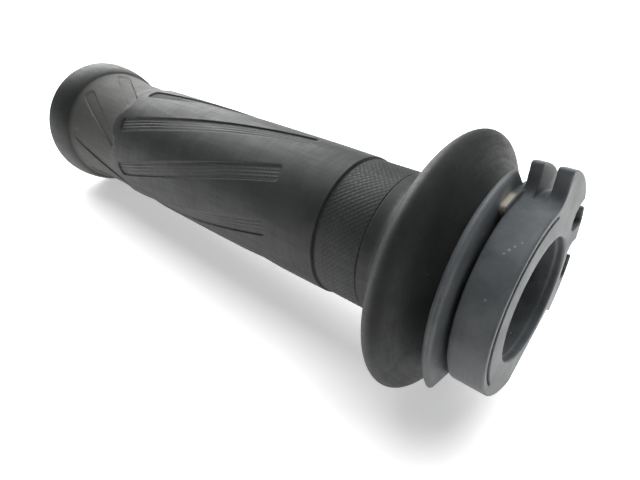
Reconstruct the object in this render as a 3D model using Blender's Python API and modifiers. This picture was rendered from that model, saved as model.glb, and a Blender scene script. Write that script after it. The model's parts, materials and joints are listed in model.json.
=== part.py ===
"""Motorcycle throttle grip: a moulded rubber sleeve on a plastic twist tube with its cable drum.

The tube slides over a 22.2 mm handlebar. X runs along the bar, towards the middle of the handlebar.
The origin is on the bar's axis, in the plane of the drum's inboard face. +Z points to the cable lug.
Angles are in degrees about X, from +Z towards -Y. Sizes are in millimetres, and MM turns them to metres.
"""

from math import atan2, cos, degrees, hypot, pi, radians, sin, sqrt

import bmesh
import bpy
from mathutils import Vector
from mathutils.geometry import interpolate_bezier

MM = 0.001
TURN_STEPS = 56

# Fit on the bar and between the two mouldings
BORE_RADIUS = 11.3
MOUTH_RADIUS = 11.5
MOUTH_DEPTH = 1.4
TUBE_RADIUS = 12.8
FIT_GAP = 0.3

# Stations along the bar, from the drum's inboard face
DRUM_WIDTH = 6.4
DISC_FACE = -7.3
DISC_BACK = -9.1
RING_CREST = -16.5
BAND_EDGE = -27.0
KNURL_EDGE = -37.7
SHOULDER = -109.0
WAIST = -118.0
BEAD_EDGE = -133.4
OUTBOARD_END = -143.2
TUBE_END = OUTBOARD_END + 2.0

# Tube flange, neck and drum
DISC_RADIUS = 22.0
DISC_ROUND = 0.8
DISC_FLATS = {"low": (14.6, 165.0), "high": (15.2, -47.5)}
FLAT_TOOL_WIDTH = 60.0
FLAT_TOOL_HEIGHT = 12.0
NECK_RADIUS = 14.2
DRUM_RADIUS = 18.0

# Cable lug: two posts, with the cable's slot between them
LUG_START = -5.0
LUG_END = -47.0
LUG_HIGH = 23.5
LUG_LOW = 19.75
LUG_FOOT = 2.4
SLOT_NEAR = -2.4
SLOT_WIDTH = 2.0
SLOT_FLOOR = 18.15
SLOT_END = -52.0

# Far side of the drum
FAR_LOW = 17.3
FAR_END = -79.0
RETURN_RADIUS = 16.85
RELIEF_START = -132.0
RELIEF_FLAT = 13.5
RELIEF_MIDDLE = -149.0
RELIEF_END = -190.0
POCKET_DEPTH = 5.0
GROOVE_START = -100.0
GROOVE_FLOOR = 14.6

# Thin crescent in the drum's inboard face, on a circle off the bar's axis
CRESCENT_RADIUS = 16.1
CRESCENT_SHIFT = 0.5
CRESCENT_MIDDLE = 60.0
CRESCENT_HALF_ANGLE = 68.0
CRESCENT_WIDTH = 0.9
CRESCENT_DEPTH = 1.2

# Web that joins the drum to the flange, under the lug
WEB_START = 14.5
WEB_END = -40.0
WEB_RADIUS = 18.9

# The two nipple pockets in the drum's face, as (y, z) points. Each opens outwards through a notch.
PULL_POCKET = [
    (17.5, 13.8),
    (12.4, 13.0),
    (11.0, 12.3),
    (10.4, 10.7),
    (10.8, 8.8),
    (12.3, 7.6),
    (15.9, 7.5),
    (16.5, 8.1),
    (15.25, 10.9),
    (18.0, 11.6),
]
RETURN_POCKET = [
    (18.5, 3.1),
    (15.3, 3.9),
    (14.1, 3.7),
    (13.4, 2.8),
    (13.3, 0.5),
    (13.1, -2.6),
    (13.6, -3.9),
    (15.3, -4.1),
    (16.0, -3.3),
    (16.35, 0.0),
    (18.5, 0.4),
]

# Rubber sleeve
BAND_RADIUS = 14.9
KNURL_RADIUS = 14.7
BODY_NEAR_RADIUS = 15.1
BODY_RADIUS = 15.5
BODY_MIDDLE = -79.0
BODY_FAR_RADIUS = 15.6
WAIST_RADIUS = 15.1
RING_BASE = 18.4
RING_HEIGHT = 7.0
RING_HALF_WIDTH = 3.6
FLANK_RADIUS = 17.2
BEAD_RADIUS = 18.25
BEAD_INNER_RADIUS = 16.4
BEAD_ROUND = 1.4
LIP_RADIUS = 11.7

# Recessed slots in the rubber: long ones along the body, short ones slanted the other way
SLOT_COUNT = 8
SLOT_CUT_RADIUS = 2.7
SLOT_DEPTH = 0.9
LONG_FIRST = 12.0
LONG_AT = -72.0
LONG_SLOPE = -1.0
LONG_START = -107.5
LONG_END = -51.5
SHORT_FIRST = 21.4
SHORT_AT = -110.7
SHORT_SLOPE = 1.8
SHORT_START = -130.0
SHORT_END = -110.6


def clear_scene():
    for obj in list(bpy.data.objects):
        bpy.data.objects.remove(obj, do_unlink=True)


def new_collection(name):
    collection = bpy.data.collections.new(name)
    bpy.context.scene.collection.children.link(collection)
    return collection


def material(name, colour, roughness):
    made = bpy.data.materials.new(name)
    made.use_nodes = True
    shader = made.node_tree.nodes["Principled BSDF"]
    shader.inputs["Base Color"].default_value = (*colour, 1.0)
    shader.inputs["Roughness"].default_value = roughness
    shader.inputs["Metallic"].default_value = 0.0
    return made


def polar(x, radius, angle):
    """A point in metres from its station, radius and angle."""
    turn = radians(angle)
    return Vector((x, -radius * sin(turn), radius * cos(turn))) * MM


def bezier(start, start_handle, end_handle, end, count):
    """Points of one curve stretch in the (radius, station) plane, without its last point."""
    knots = [Vector((*p, 0.0)) for p in (start, start_handle, end_handle, end)]
    return [(p.x, p.y) for p in interpolate_bezier(*knots, count + 1)[:-1]]


def arc(centre, radius, first, last, count):
    """Points on a circle in the (radius, station) plane, from one angle to another, both ends in."""
    turns = [radians(first + (last - first) * i / count) for i in range(count + 1)]
    return [(centre[0] + radius * cos(t), centre[1] + radius * sin(t)) for t in turns]


def turned(name, profile, collection):
    """A closed (radius, station) profile, turned about the bar's axis."""
    mesh = bpy.data.meshes.new(name)
    rim = [(radius * MM, 0.0, station * MM) for radius, station in profile]
    loop = [(i, (i + 1) % len(rim)) for i in range(len(rim))]
    mesh.from_pydata(rim, loop, [])
    obj = bpy.data.objects.new(name, mesh)
    obj.rotation_euler = (0.0, pi / 2, 0.0)
    collection.objects.link(obj)
    screw = obj.modifiers.new("turn", "SCREW")
    screw.axis = "Z"
    screw.steps = TURN_STEPS
    screw.render_steps = TURN_STEPS
    screw.use_merge_vertices = True
    screw.merge_threshold = 0.00001
    screw.use_smooth_shade = True
    return obj


def extruded(name, loops, near, far, collection):
    """Outlines of (radius, angle) points, filled across the bar and extruded between two stations."""
    curve = bpy.data.curves.new(name, "CURVE")
    curve.dimensions = "2D"
    curve.fill_mode = "BOTH"
    curve.extrude = abs(far - near) / 2 * MM
    for loop in loops:
        spline = curve.splines.new("POLY")
        spline.points.add(len(loop) - 1)
        spline.use_cyclic_u = True
        for point, (radius, angle) in zip(spline.points, loop):
            turn = radians(angle)
            point.co = (-radius * sin(turn) * MM, radius * cos(turn) * MM, 0.0, 1.0)
    obj = bpy.data.objects.new(name, curve)
    obj.rotation_euler = (pi / 2, 0.0, pi / 2)
    obj.location = ((near + far) / 2 * MM, 0.0, 0.0)
    collection.objects.link(obj)
    return as_mesh(obj, collection)


def as_mesh(obj, collection):
    """The curve object made a mesh, with its caps welded to its sides."""
    bpy.context.view_layer.update()
    evaluated = obj.evaluated_get(bpy.context.evaluated_depsgraph_get())
    mesh = bpy.data.meshes.new_from_object(evaluated)
    work = bmesh.new()
    work.from_mesh(mesh)
    bmesh.ops.remove_doubles(work, verts=work.verts, dist=0.000005)
    bmesh.ops.recalc_face_normals(work, faces=work.faces)
    work.to_mesh(mesh)
    work.free()
    made = bpy.data.objects.new(obj.name, mesh)
    made.matrix_world = obj.matrix_world
    bpy.data.objects.remove(obj, do_unlink=True)
    collection.objects.link(made)
    return made


def combine(obj, tool, operation):
    """Joins or cuts obj with a tool that itself stays out of the model."""
    tool.hide_render = True
    tool.display_type = "WIRE"
    boolean = obj.modifiers.new(tool.name, "BOOLEAN")
    boolean.object = tool
    boolean.operation = operation
    boolean.solver = "EXACT"


def sweep(first, last, step):
    """Evenly spaced angles from first down or up to last, both ends in."""
    count = max(1, round(abs(last - first) / step))
    return [first + (last - first) * i / count for i in range(count + 1)]


def block_cutter(name, near, far, at, angle, collection):
    """A block that cuts a flat on the flange: its near side lies at this distance from the axis."""
    bpy.ops.mesh.primitive_cube_add(size=1.0)
    obj = bpy.context.object
    obj.name = name
    obj.scale = (abs(far - near) * MM, FLAT_TOOL_WIDTH * MM, FLAT_TOOL_HEIGHT * MM)
    obj.rotation_euler = (radians(angle), 0.0, 0.0)
    obj.location = polar((near + far) / 2, at + FLAT_TOOL_HEIGHT / 2, angle)
    for owner in list(obj.users_collection):
        owner.objects.unlink(obj)
    collection.objects.link(obj)
    return obj


def sector(inner, outer, first, last, step=6.0):
    """A ring sector's outline."""
    angles = sweep(first, last, step)
    return [(outer, a) for a in angles] + [(inner, a) for a in reversed(angles)]


def lug_foot():
    """The hollow fillet from the drum's round side up to the lug's upright face."""
    spread = degrees(LUG_FOOT / DRUM_RADIUS)
    points = []
    for rise in sweep(15.0, 90.0, 15.0):
        turn = radians(rise)
        points.append((DRUM_RADIUS + LUG_FOOT * (1 - cos(turn)), LUG_START + spread * (1 - sin(turn))))
    return points


def falling(first, last, high, low, bend):
    """Points on a side whose radius falls from high to low between two angles."""
    points = []
    for angle in sweep(first, last, 5.0):
        part = (first - angle) / (first - last)
        points.append((high + (low - high) * part**bend, angle))
    return points


def relief():
    """The flat that relieves the drum's far lower side, up to where it meets the round side."""
    angles = sweep(RELIEF_START, RELIEF_END, 5.0)
    return [(RELIEF_FLAT / cos(radians(a - RELIEF_MIDDLE)), a) for a in angles]


def drum_outline():
    """The drum seen from its inboard face: round near side, lug, far side and relief."""
    near_side = [(DRUM_RADIUS, a) for a in sweep(RELIEF_END + 355.0, LUG_START + 9.0, 5.0)]
    lug = [(LUG_HIGH - 0.4, LUG_START)] + falling(LUG_START - 1.0, LUG_END, LUG_HIGH, LUG_LOW, 1.1)
    far_side = falling(LUG_END, FAR_END, LUG_LOW, FAR_LOW, 1.3)[1:]
    far_side += [(RETURN_RADIUS, a) for a in sweep(FAR_END - 4.0, RELIEF_START, 5.0)]
    return near_side + lug_foot() + lug + far_side + relief()


def as_polar(points):
    """Points across the bar, (y, z), as (radius, angle)."""
    return [(hypot(y, z), degrees(atan2(-y, z))) for y, z in points]


def tube_profile():
    """The tube, its flange and the ring that carries the drum, from the inboard face outwards."""
    edge = DISC_RADIUS - DISC_ROUND
    profile = [(TUBE_RADIUS, -MOUTH_DEPTH), (TUBE_RADIUS, -DRUM_WIDTH + 1.4)]
    profile += [(NECK_RADIUS, -DRUM_WIDTH + 0.4), (NECK_RADIUS, DISC_FACE)]
    profile += arc((edge, DISC_FACE - DISC_ROUND), DISC_ROUND, 90.0, 0.0, 4)
    profile += arc((edge, DISC_BACK + DISC_ROUND), DISC_ROUND, 0.0, -90.0, 4)
    profile += [(TUBE_RADIUS + 0.4, DISC_BACK), (TUBE_RADIUS, DISC_BACK - 0.4)]
    profile += [(TUBE_RADIUS, TUBE_END + 0.5), (TUBE_RADIUS - 0.5, TUBE_END)]
    return profile + [(BORE_RADIUS, TUBE_END), (BORE_RADIUS, -MOUTH_DEPTH)]


def crescent():
    """The crescent's outline, fading to a point at both ends."""
    outer = []
    inner = []
    for a in sweep(-CRESCENT_HALF_ANGLE, CRESCENT_HALF_ANGLE, 6.0):
        half = CRESCENT_WIDTH / 2 * max(0.15, 1 - (a / CRESCENT_HALF_ANGLE) ** 4)
        turn = radians(a)
        along = CRESCENT_SHIFT * cos(turn)
        reach = along + sqrt(CRESCENT_RADIUS**2 - (CRESCENT_SHIFT * sin(turn)) ** 2)
        outer.append((reach + half, CRESCENT_MIDDLE + a))
        inner.append((reach - half, CRESCENT_MIDDLE + a))
    return outer + inner[::-1]


def make_tube(parts, cutters):
    tube = turned("throttle_tube", tube_profile(), parts)
    hole = [(MOUTH_RADIUS, a) for a in sweep(0.0, 354.0, 6.0)]
    drum = extruded("drum_blank", [drum_outline(), hole], -DRUM_WIDTH, 0.0, cutters)
    combine(tube, drum, "UNION")
    for name, (at, angle) in DISC_FLATS.items():
        flat = block_cutter(f"flange_flat_{name}", DISC_FACE + 0.5, DISC_BACK - 0.5, at, angle, cutters)
        combine(tube, flat, "DIFFERENCE")
    web_outline = sector(TUBE_RADIUS + 0.4, WEB_RADIUS, WEB_START, WEB_END)
    web = extruded("drum_web", [web_outline], -DRUM_WIDTH + 0.3, DISC_FACE - 0.3, cutters)
    combine(tube, web, "UNION")
    lug_slot = sector(SLOT_FLOOR, LUG_HIGH + 2.0, LUG_START + 12.0, SLOT_END)
    slot = extruded("lug_slot", [lug_slot], SLOT_NEAR, SLOT_NEAR - SLOT_WIDTH, cutters)
    combine(tube, slot, "DIFFERENCE")
    groove = sector(GROOVE_FLOOR, RETURN_RADIUS + 2.0, GROOVE_START, RELIEF_START - 3.0)
    ring = extruded("return_groove", [groove], SLOT_NEAR, SLOT_NEAR - SLOT_WIDTH, cutters)
    combine(tube, ring, "DIFFERENCE")
    for name, pocket in (("pull_pocket", PULL_POCKET), ("return_pocket", RETURN_POCKET)):
        tool = extruded(name, [as_polar(pocket)], 1.0, -POCKET_DEPTH, cutters)
        combine(tube, tool, "DIFFERENCE")
    moon = extruded("face_crescent", [crescent()], 1.0, -CRESCENT_DEPTH, cutters)
    combine(tube, moon, "DIFFERENCE")
    tube.data.materials.append(material("drum_plastic", (0.09, 0.10, 0.11), 0.5))
    return tube


def inboard_ring():
    """The large guard ring: hollow flank by the flange, narrow round crest, fillet down to the band."""
    crest = []
    for angle in sweep(32.0, -76.0, 12.0):
        turn = radians(angle)
        crest.append((RING_BASE + RING_HEIGHT * cos(turn), RING_CREST + RING_HALF_WIDTH * sin(turn)))
    start = (FLANK_RADIUS, DISC_BACK - FIT_GAP)
    foot = (BAND_RADIUS, BAND_EDGE + 2.0)
    inboard, outboard = crest[0], crest[-1]
    leaving = (start[0] + 1.4, start[1] - 2.4)
    arriving = (inboard[0] - 2.0, inboard[1] + 1.6)
    points = bezier(start, leaving, arriving, inboard, 5) + crest[:-1]
    leaving = (outboard[0] - 2.2, outboard[1] - 0.4)
    points += bezier(outboard, leaving, (foot[0], foot[1] + 2.8), foot, 6)
    return points + [foot, (BAND_RADIUS, BAND_EDGE)]


def end_bead():
    """The flared bead at the outboard end, up from the neck and over to the end face."""
    points = bezier(
        (BEAD_INNER_RADIUS, BEAD_EDGE),
        (BEAD_INNER_RADIUS + 0.8, BEAD_EDGE - 1.2),
        (BEAD_RADIUS, BEAD_EDGE - 4.4),
        (BEAD_RADIUS, OUTBOARD_END + BEAD_ROUND),
        6,
    )
    centre = (BEAD_RADIUS - BEAD_ROUND, OUTBOARD_END + BEAD_ROUND)
    return points + arc(centre, BEAD_ROUND, 0.0, -90.0, 4)


def sleeve_profile():
    """The sleeve's section: its outside from the flange to the outboard end, then back along its bore."""
    bore = TUBE_RADIUS + FIT_GAP
    body = [(KNURL_RADIUS, BAND_EDGE - 0.1), (KNURL_RADIUS, KNURL_EDGE), (BODY_NEAR_RADIUS, KNURL_EDGE - 0.1)]
    body += bezier(
        (BODY_NEAR_RADIUS + 0.1, KNURL_EDGE - 4.0),
        (BODY_RADIUS, KNURL_EDGE - 20.0),
        (BODY_RADIUS, SHOULDER + 30.0),
        (BODY_FAR_RADIUS, SHOULDER),
        8,
    )
    body += bezier(
        (BODY_FAR_RADIUS, SHOULDER),
        (BODY_FAR_RADIUS - 0.2, SHOULDER - 4.0),
        (WAIST_RADIUS, WAIST + 4.0),
        (WAIST_RADIUS, WAIST),
        4,
    )
    body += bezier(
        (WAIST_RADIUS, WAIST),
        (WAIST_RADIUS, WAIST - 7.0),
        (BEAD_INNER_RADIUS - 0.8, BEAD_EDGE + 3.0),
        (BEAD_INNER_RADIUS - 0.2, BEAD_EDGE + 0.3),
        6,
    )
    inside = [(LIP_RADIUS, OUTBOARD_END), (LIP_RADIUS, TUBE_END - FIT_GAP), (bore, TUBE_END - FIT_GAP)]
    inside += [(bore, DISC_BACK - 1.2), (bore + 0.9, DISC_BACK - FIT_GAP)]
    return inboard_ring() + body + end_bead() + inside


def body_radius(station):
    """The sleeve's outside radius along the slots, near enough to set their depth."""
    if station > SHOULDER:
        part = max(0.0, (station - BODY_MIDDLE) / (SHOULDER - BODY_MIDDLE))
        return BODY_RADIUS + (BODY_FAR_RADIUS - BODY_RADIUS) * part
    if station > WAIST:
        part = (SHOULDER - station) / (SHOULDER - WAIST)
        return BODY_FAR_RADIUS + (WAIST_RADIUS - BODY_FAR_RADIUS) * part
    part = (WAIST - station) / (WAIST - BEAD_EDGE)
    return WAIST_RADIUS + (BEAD_INNER_RADIUS - WAIST_RADIUS) * part**2


def slot_cutter(name, first_angle, at, slope, start, end, collection):
    """A round rod along one helix, sunk by the slot's depth."""
    curve = bpy.data.curves.new(name, "CURVE")
    curve.dimensions = "3D"
    curve.bevel_depth = SLOT_CUT_RADIUS * MM
    curve.bevel_resolution = 3
    curve.use_fill_caps = True
    spline = curve.splines.new("POLY")
    stations = sweep(start, end, 4.0)
    spline.points.add(len(stations) - 1)
    for point, station in zip(spline.points, stations):
        lift = body_radius(station) - SLOT_DEPTH + SLOT_CUT_RADIUS
        point.co = (*polar(station, lift, first_angle + slope * (station - at)), 1.0)
    obj = bpy.data.objects.new(name, curve)
    collection.objects.link(obj)
    return as_mesh(obj, collection)


def joined(name, objects):
    """Separate cutters made one object, so one Boolean cuts them all."""
    work = bmesh.new()
    for obj in objects:
        work.from_mesh(obj.data)
    mesh = bpy.data.meshes.new(name)
    work.to_mesh(mesh)
    work.free()
    made = bpy.data.objects.new(name, mesh)
    objects[0].users_collection[0].objects.link(made)
    for obj in objects:
        bpy.data.objects.remove(obj, do_unlink=True)
    return made


def make_sleeve(parts, cutters):
    sleeve = turned("rubber_grip", sleeve_profile(), parts)
    rods = []
    for first, *path in (
        (LONG_FIRST, LONG_AT, LONG_SLOPE, LONG_START, LONG_END),
        (SHORT_FIRST, SHORT_AT, SHORT_SLOPE, SHORT_START, SHORT_END),
    ):
        for i in range(SLOT_COUNT):
            rods.append(slot_cutter("slot_rod", first + 360.0 / SLOT_COUNT * i, *path, cutters))
    combine(sleeve, joined("slot_rods", rods), "DIFFERENCE")
    sleeve.data.materials.append(material("grip_rubber", (0.06, 0.065, 0.062), 0.75))
    return sleeve


clear_scene()
parts = new_collection("throttle_grip")
cutters = new_collection("cutters")
make_tube(parts, cutters)
make_sleeve(parts, cutters)
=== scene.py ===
"""Throttle grip, visual model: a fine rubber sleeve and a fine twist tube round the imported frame.

X runs along the bar towards the middle of the handlebar, from the drum's inboard face. +Z points to the
cable lug. Angles are in degrees about X, from +Z towards -Y. Sizes are in millimetres, MM makes metres.
"""

import json
from math import atan2, cos, degrees, hypot, pi, radians, sin, sqrt

import bmesh
import bpy
import numpy as np
from mathutils import Euler, Matrix, Vector
from mathutils.geometry import interpolate_bezier

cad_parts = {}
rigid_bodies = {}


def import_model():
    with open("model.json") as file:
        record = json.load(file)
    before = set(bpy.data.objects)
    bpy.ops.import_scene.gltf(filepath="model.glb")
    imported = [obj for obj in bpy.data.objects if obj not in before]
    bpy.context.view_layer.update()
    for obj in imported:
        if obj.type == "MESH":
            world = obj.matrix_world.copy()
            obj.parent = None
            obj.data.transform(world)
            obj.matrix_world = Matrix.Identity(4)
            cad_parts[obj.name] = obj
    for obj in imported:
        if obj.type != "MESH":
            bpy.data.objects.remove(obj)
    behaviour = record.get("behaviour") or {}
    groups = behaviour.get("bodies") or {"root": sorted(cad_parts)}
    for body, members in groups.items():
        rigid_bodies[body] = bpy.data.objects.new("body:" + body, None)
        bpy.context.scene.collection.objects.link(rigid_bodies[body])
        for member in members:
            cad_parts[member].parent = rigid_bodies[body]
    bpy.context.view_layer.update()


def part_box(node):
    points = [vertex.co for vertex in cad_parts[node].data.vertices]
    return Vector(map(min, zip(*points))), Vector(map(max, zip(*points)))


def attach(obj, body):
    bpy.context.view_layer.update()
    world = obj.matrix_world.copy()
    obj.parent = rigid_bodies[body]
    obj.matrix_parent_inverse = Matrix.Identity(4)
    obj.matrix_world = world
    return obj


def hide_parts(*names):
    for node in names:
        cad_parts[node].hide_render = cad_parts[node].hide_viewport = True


MM = 0.001

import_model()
sleeve_box = [[c / MM for c in corner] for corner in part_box("rubber_grip")]
tube_box = [[c / MM for c in corner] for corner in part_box("throttle_tube")]

FIT_GAP = 0.3

# Stations along the bar
OUTBOARD_END = sleeve_box[0][0]
SLEEVE_START = sleeve_box[1][0]
TUBE_END = tube_box[0][0]
FACE = tube_box[1][0]
DRUM_WIDTH = 6.4
DISC_FACE = -7.3
DISC_BACK = SLEEVE_START + FIT_GAP
RING_CREST = -16.5
BAND_EDGE = -27.0
KNURL_EDGE = -37.7
MID_BODY = -70.0
SHOULDER = -109.0
WAIST = -118.0
BEAD_EDGE = -133.4

# Radii
BORE_RADIUS = 11.3
MOUTH_RADIUS = 11.5
MOUTH_DEPTH = 1.4
MOUTH_CHAMFER = 0.25
BLANK_BORE = 8.0
TUBE_RADIUS = 12.8
WALL_MIDDLE = (BORE_RADIUS + TUBE_RADIUS) / 2
DISC_RADIUS = 22.0
DISC_ROUND = 0.8
DISC_BACK_ROUND = 1.5
NECK_RADIUS = 14.2
DRUM_RADIUS = 18.0
BAND_RADIUS = 14.9
KNURL_RADIUS = 14.75
BODY_NEAR_RADIUS = 15.1
BODY_RADIUS = 15.5
BODY_FAR_RADIUS = 15.6
WAIST_RADIUS = 15.1
RING_BASE = 18.4
RING_HEIGHT = sleeve_box[1][1] - RING_BASE
RING_HALF_WIDTH = 3.6
FLANK_RADIUS = 17.2
BEAD_RADIUS = 18.25
BEAD_INNER_RADIUS = 16.4
BEAD_ROUND = 1.4
LIP_RADIUS = 11.7

# The sleeve's slots: long ones along the body, short ones slanted the other way. The first slot of a kind
# crosses the station "at" at the angle "first", and turns by "slope" degrees a millimetre.
SLOT_PITCH = 45.0
LONG = {
    "first": 12.0,
    "at": -72.0,
    "slope": -1.0,
    "start": -108.0,
    "end": -50.6,
    "half": 2.05,
    "depth": 0.46,
}
SHORT = {
    "first": 21.4,
    "at": -110.7,
    "slope": 1.8,
    "start": -131.0,
    "end": -109.6,
    "half": 1.83,
    "depth": 0.4,
}
SLOT_CORNER = 1.3
SLOT_WALL = 0.34
LOBE = 2.8
RIB_PITCH = 0.84
RIB_HEIGHT = 0.18
RIB_EDGE = 0.3
RIB_FULL = 0.6
HATCH_PITCH = 0.8
HATCH_END = -69.0

# Stations where the long slots' ribs start to wear down, are worn, are still worn and are whole again
WORN = (-97.0, -90.0, -80.0, -66.0)

KNURL_STARTS = 80
KNURL_PITCH = 1.1
KNURL_DEPTH = 0.12
GROOVE_DEPTH = 0.28
SWAY = 0.03


def smooth(low, high, value):
    """Zero before low, one past high, and eased between. Low may be the larger."""
    part = np.clip((value - low) / (high - low), 0.0, 1.0)
    return part * part * (3 - 2 * part)


def bezier(start, start_handle, end_handle, end, count):
    """Points of one curve stretch in the (radius, station) plane, without its last point."""
    knots = [Vector((*p, 0.0)) for p in (start, start_handle, end_handle, end)]
    return [(p.x, p.y) for p in interpolate_bezier(*knots, count + 1)[:-1]]


def arc(centre, radius, first, last, count):
    """Points on a circle in the (radius, station) plane, from one angle to another, both ends in."""
    turns = [radians(first + (last - first) * i / count) for i in range(count + 1)]
    return [(centre[0] + radius * cos(t), centre[1] + radius * sin(t)) for t in turns]


def sweep(first, last, step):
    """Evenly spaced values from first to last, both ends in."""
    count = max(1, round(abs(last - first) / step))
    return [first + (last - first) * i / count for i in range(count + 1)]


class Skin:
    """Rings of points about the bar, joined one to the next into one skin."""

    def __init__(self):
        self.points = []
        self.faces = []
        self.recess = []
        self.rings = []

    def ring(self, station, radius, angles, recess=0.0):
        """Adds a ring. The station and the radius are numbers or one value for each angle."""
        angles = np.asarray(angles, float)
        turn = np.radians(angles)
        radius = np.broadcast_to(np.asarray(radius, float), angles.shape)
        station = np.broadcast_to(np.asarray(station, float), angles.shape)
        first = len(self.points)
        self.points += list(np.stack([station, -radius * np.sin(turn), radius * np.cos(turn)], 1) * MM)
        self.recess += list(np.broadcast_to(recess, angles.shape))
        self.rings.append((first, angles))
        if len(self.rings) > 1:
            self.join(self.rings[-2], self.rings[-1])

    def join(self, one, other):
        """Quads where both rings hold the same columns, and a zip of triangles where they don't."""
        (first, angles), (second, others) = one, other
        count = len(angles)
        if count == len(others):
            for i in range(count):
                j = (i + 1) % count
                self.faces.append((first + i, first + j, second + j, second + i))
            return
        self.zip(first, angles, second, others)

    def zip(self, first, angles, second, others):
        order, turn = np.argsort(angles % 360.0), np.sort(angles % 360.0)
        order_2, turn_2 = np.argsort(others % 360.0), np.sort(others % 360.0)
        turn = np.append(turn, turn[0] + 360.0)
        turn_2 = np.append(turn_2, turn_2[0] + 360.0)
        i = j = 0
        while i < len(order) or j < len(order_2):
            a = first + int(order[i % len(order)])
            b = second + int(order_2[j % len(order_2)])
            if j == len(order_2) or (i < len(order) and turn[i + 1] <= turn_2[j + 1]):
                i += 1
                self.faces.append((a, first + int(order[i % len(order)]), b))
            else:
                j += 1
                self.faces.append((a, second + int(order_2[j % len(order_2)]), b))

    def close(self):
        self.join(self.rings[-1], self.rings[0])

    def mesh(self, name):
        mesh = bpy.data.meshes.new(name)
        mesh.from_pydata([tuple(p) for p in self.points], [], self.faces)
        tint = mesh.attributes.new("recess", "FLOAT", "POINT")
        tint.data.foreach_set("value", np.asarray(self.recess, np.float32))
        return finished(mesh)


def finished(mesh, sharp=38.0):
    """The mesh with its faces turned outwards and shaded smooth, apart from its real edges."""
    work = bmesh.new()
    work.from_mesh(mesh)
    bmesh.ops.recalc_face_normals(work, faces=work.faces)
    work.to_mesh(mesh)
    work.free()
    mesh.shade_smooth()
    mesh.set_sharp_from_angle(angle=radians(sharp))
    return mesh


def even(count):
    return np.arange(count) * 360.0 / count


# The sleeve

def ring_profile():
    """The guard ring: hollow flank by the flange, narrow round crest, fillet down to the band."""
    crest = []
    for angle in sweep(32.0, -76.0, 6.0):
        turn = radians(angle)
        crest.append((RING_BASE + RING_HEIGHT * cos(turn), RING_CREST + RING_HALF_WIDTH * sin(turn)))
    start = (FLANK_RADIUS, SLEEVE_START)
    foot = (BAND_RADIUS, BAND_EDGE + 2.0)
    inboard, outboard = crest[0], crest[-1]
    points = [(FLANK_RADIUS - 0.2, SLEEVE_START)]
    leaving = (start[0] + 1.4, start[1] - 2.4)
    arriving = (inboard[0] - 2.0, inboard[1] + 1.6)
    points += bezier(start, leaving, arriving, inboard, 16) + crest[:-1]
    leaving = (outboard[0] - 2.2, outboard[1] - 0.4)
    points += bezier(outboard, leaving, (foot[0], foot[1] + 2.8), foot, 18)
    return points + [foot, (BAND_RADIUS, BAND_EDGE + 1.0), (BAND_RADIUS, BAND_EDGE + 0.15)]


# The nick's two ends, as (station, angle)
NICK = [(-15.7, 119.0), (-10.3, 90.0)]
NICK_DEPTH = 0.35


def nick_depth(station, angles, radius):
    """A short diagonal nick in the ring's lower flank."""
    (x0, a0), (x1, a1) = NICK
    along = np.array([x1 - x0, radians(a1 - a0) * radius])
    reach = np.stack([np.full(len(angles), station - x0), np.radians(angles - a0) * radius], 1)
    part = np.clip(reach @ along / (along @ along), 0.0, 1.0)
    away = np.linalg.norm(reach - part[:, None] * along, axis=1)
    return NICK_DEPTH * (1 - smooth(0.1, 0.55, away)) * np.sin(pi * np.clip(part, 0.08, 0.92))


def add_ring(skin):
    """The guard ring and the plain band beside it, down into the first thin groove."""
    columns = even(224)
    for radius, station in ring_profile():
        depth = nick_depth(station, columns, radius)
        skin.ring(station, radius - depth, columns, depth)
    skin.ring(BAND_EDGE, BAND_RADIUS - 0.12, columns, 0.5)
    skin.ring(BAND_EDGE - 0.06, KNURL_RADIUS - GROOVE_DEPTH, columns, 1.0)


def add_knurl(skin):
    """A band of fine diamonds, between a thin groove at either side."""
    columns = even(KNURL_STARTS * 5)
    skin.ring(BAND_EDGE - 0.2, KNURL_RADIUS - GROOVE_DEPTH, columns, 1.0)
    around = columns * KNURL_STARTS / 360.0
    for station in sweep(BAND_EDGE - 0.4, KNURL_EDGE + 0.5, KNURL_PITCH / 5):
        along = (station - BAND_EDGE) / KNURL_PITCH
        one = np.abs((around + along) % 1.0 - 0.5) * 2
        other = np.abs((around - along) % 1.0 - 0.5) * 2
        height = np.minimum(np.minimum(one, other) / 0.7, 1.0)
        skin.ring(station, KNURL_RADIUS - KNURL_DEPTH * (1 - height), columns, 0.7 * (1 - height))
    skin.ring(KNURL_EDGE + 0.3, KNURL_RADIUS - GROOVE_DEPTH, columns, 1.0)


def body_profile():
    """The body and waist as (radius, station) points, without their slots."""
    shoulder = (BODY_FAR_RADIUS, SHOULDER)
    profile = bezier(
        (BODY_NEAR_RADIUS, KNURL_EDGE - 0.2),
        (BODY_RADIUS, KNURL_EDGE - 20.0),
        (BODY_RADIUS, SHOULDER + 30.0),
        shoulder,
        40,
    )
    waist = (WAIST_RADIUS, WAIST)
    leaving = (BODY_FAR_RADIUS - 0.25, SHOULDER - 1.5)
    profile += bezier(shoulder, leaving, (WAIST_RADIUS, WAIST + 5.0), waist, 20)
    end = (BEAD_INNER_RADIUS - 0.2, BEAD_EDGE + 0.4)
    profile += bezier(waist, (WAIST_RADIUS, WAIST - 7.0), (end[0] - 0.6, end[1] + 2.6), end, 20)
    return profile + [end]


PROFILE = body_profile()


def body_radius(station, angles):
    """The radius at one station. The shoulder reaches outboard in a lobe round each long slot's end."""
    middle = LONG["first"] + LONG["slope"] * (SHOULDER - LONG["at"])
    lobe = 0.5 + 0.5 * np.cos(np.radians((angles - middle) * 360.0 / SLOT_PITCH))
    near = smooth(SHOULDER - 8.0, SHOULDER - 1.0, station) * smooth(SHOULDER + 8.0, SHOULDER, station)
    stations = [-s for _, s in PROFILE]
    return np.interp(-(station + LOBE * lobe * near), stations, [r for r, _ in PROFILE])


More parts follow.
